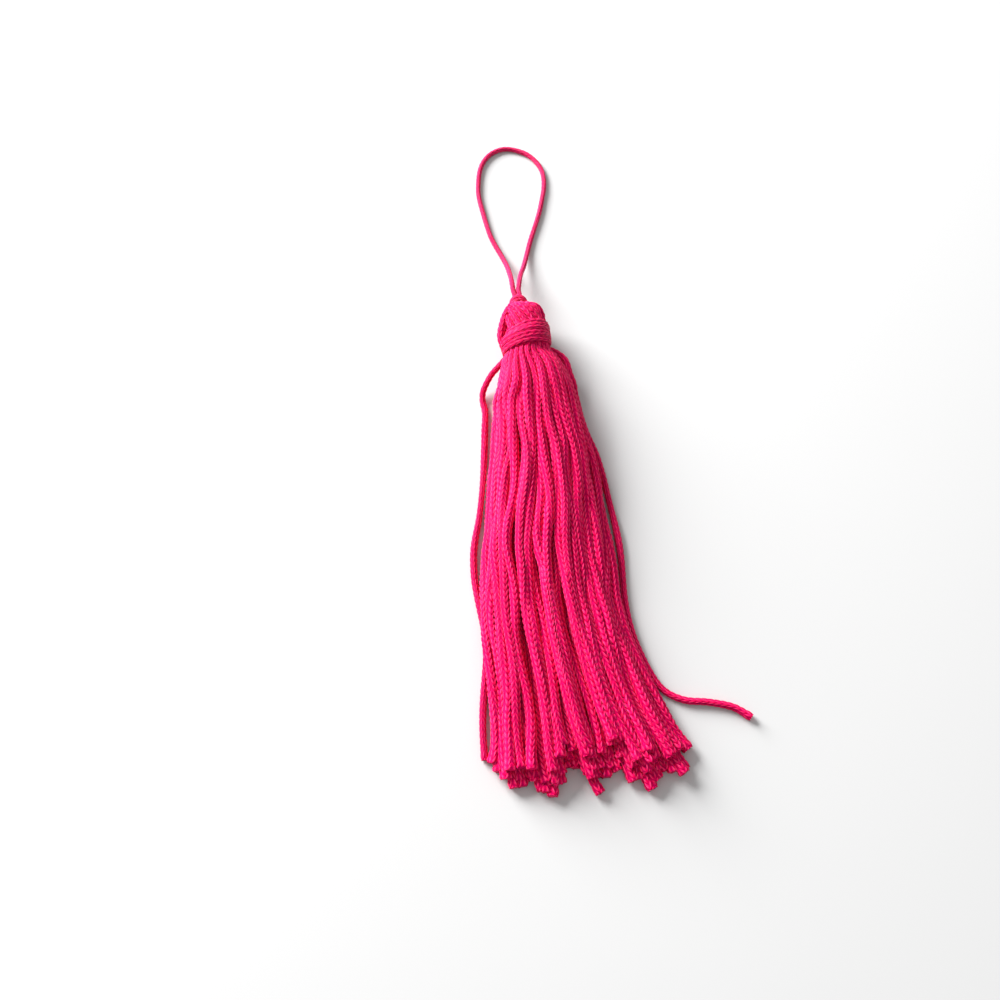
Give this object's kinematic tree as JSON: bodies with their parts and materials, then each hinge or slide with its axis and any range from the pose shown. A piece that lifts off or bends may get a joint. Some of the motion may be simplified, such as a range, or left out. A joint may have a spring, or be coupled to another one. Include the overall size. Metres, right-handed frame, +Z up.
{
  "type": "silk tassel",
  "caption": "Knitted silk cord tassel with a folded head, a bound neck, a fanned skirt of strands and a hanging loop, lying flat.",
  "frame": {"origin": "on the table, where the flat underside of the neck binding rests", "axes": "+Y along the tassel from the skirt to the hanging loop, +Z up from the table, +X to the right in the picture"},
  "size_m": [0.0455, 0.1297, 0.0089],
  "materials": {
    "silk_strands": "knitted silk cord, soft sheen",
    "silk_binding": "knitted silk cord, soft sheen",
    "silk_wrap": "knitted silk cord, soft sheen",
    "silk_loop": "fine silk cord, soft sheen"
  },
  "bodies": {
    "root": {"tassel_strands": "silk_strands", "neck_binding": "silk_binding", "loop_wrap": "silk_wrap", "hanging_loop": "silk_loop"}
  },
  "joints": []
}
